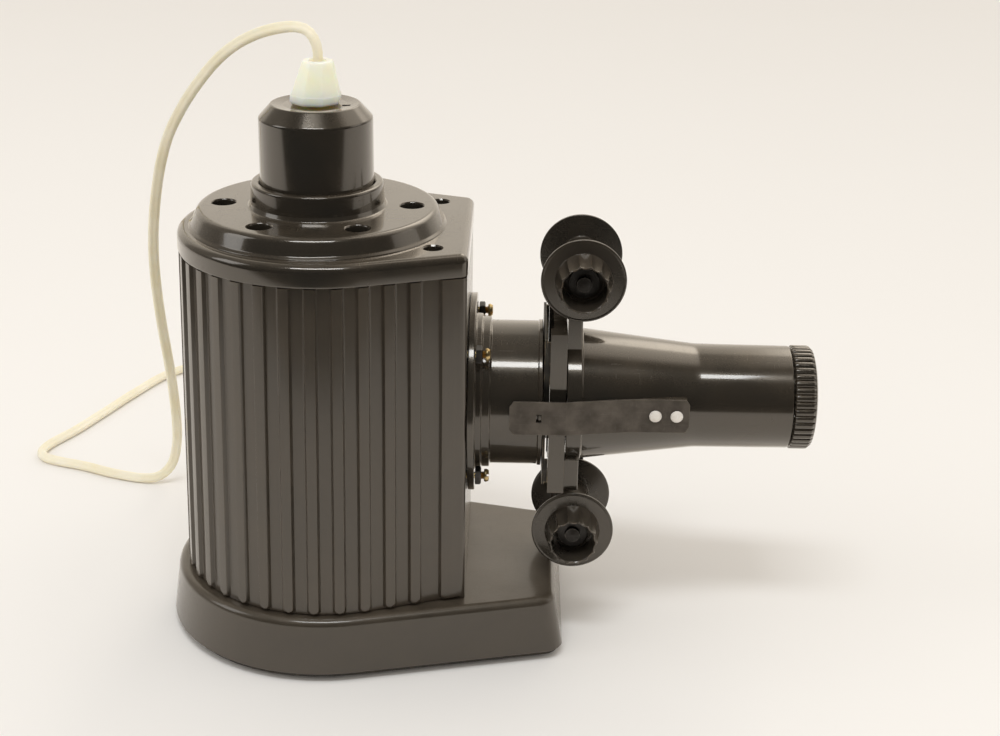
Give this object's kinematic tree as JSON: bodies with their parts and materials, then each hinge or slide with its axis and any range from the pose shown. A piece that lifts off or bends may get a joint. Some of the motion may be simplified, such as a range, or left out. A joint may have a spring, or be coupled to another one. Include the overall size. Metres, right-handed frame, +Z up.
{
  "type": "filmstrip projector",
  "caption": "Small moulded filmstrip projector with a fluted lamp house, a clip-on film gate, turning film spools, a focusing objective and a corded lampholder.",
  "frame": {"origin": "centre of the box of the projector without its free cord, at the level of its feet", "axes": "+X along the optical axis towards the objective, +Z up, +Y away from the spool knobs"},
  "size_m": [0.3879, 0.3689, 0.2654],
  "materials": {
    "bakelite": "polished thermoset moulding",
    "rubber": "matt",
    "dark_steel": "browned",
    "brown_steel": "dull spring strip",
    "aluminium": "satin",
    "brass": "plain",
    "ceramic": "glazed ceramic",
    "glass": "clear",
    "bright_steel": "bright",
    "ivory": "translucent",
    "cord": "soft sheath",
    "dull_plastic": "matt"
  },
  "bodies": {
    "housing": {"base_plate": "rubber", "base_screw_1": "dark_steel", "base_screw_2": "dark_steel", "base_screw_3": "dark_steel", "base_shell": "bakelite", "cap_screw_1": "dark_steel", "cap_screw_2": "dark_steel", "centre_contact": "brass", "ceramic_insert": "ceramic", "condenser_lens_front": "glass", "condenser_lens_rear": "glass", "condenser_nut_1": "dark_steel", "condenser_nut_2": "dark_steel", "condenser_nut_3": "dark_steel", "condenser_nut_4": "dark_steel", "condenser_ring": "dull_plastic", "condenser_screw_1": "brass", "condenser_screw_2": "brass", "condenser_screw_3": "brass", "condenser_screw_4": "brass", "condenser_tube": "bakelite", "cord": "cord", "cord_coil": "cord", "cord_grip": "ivory", "foot_1": "rubber", "foot_2": "rubber", "foot_3": "rubber", "foot_4": "rubber", "lamp_cap": "brass", "lamp_glass": "glass", "lamp_house": "bakelite", "lampholder_body": "bakelite", "lampholder_skirt": "dull_plastic", "lens_spacer": "aluminium", "plug": "ivory", "reflector": "bright_steel", "reflector_bracket": "bright_steel", "thread_liner": "brass", "top_cap": "bakelite"},
    "film_head": {"pressure_plate": "dark_steel", "gate_body": "bakelite", "lens_carrier": "bakelite", "leaf_spring_near": "brown_steel", "leaf_spring_far": "brown_steel", "spool_bracket": "dark_steel", "top_spool_clip": "dark_steel", "bottom_spool_clip": "dark_steel", "bracket_screw_1": "dark_steel", "bracket_screw_2": "dark_steel", "rivet_far_1": "aluminium", "rivet_far_2": "aluminium", "rivet_near_1": "aluminium", "rivet_near_2": "aluminium"},
    "top_spool_body": {"top_spool": "bakelite"},
    "bottom_spool_body": {"bottom_spool": "bakelite"},
    "objective": {"objective_tube": "bakelite", "objective_lens_front": "glass", "objective_lens_rear": "glass", "objective_sleeve": "dull_plastic", "objective_ring": "dull_plastic"}
  },
  "joints": [
    {"name": "film_head_slide", "type": "slide", "parent": "housing", "child": "film_head", "axis": [1, 0, 0], "range_m": [0, 0.03]},
    {"name": "top_spool_turn", "type": "hinge", "parent": "film_head", "child": "top_spool_body", "pos_m": [0.0396, 0, 0.1642], "axis": [0, 1, 0], "continuous": true},
    {"name": "bottom_spool_turn", "type": "hinge", "parent": "film_head", "child": "bottom_spool_body", "pos_m": [0.0382, 0, 0.0488], "axis": [0, 1, 0], "continuous": true},
    {"name": "focus_slide", "type": "slide", "parent": "film_head", "child": "objective", "axis": [1, 0, 0], "range_m": [0, 0.018]}
  ]
}
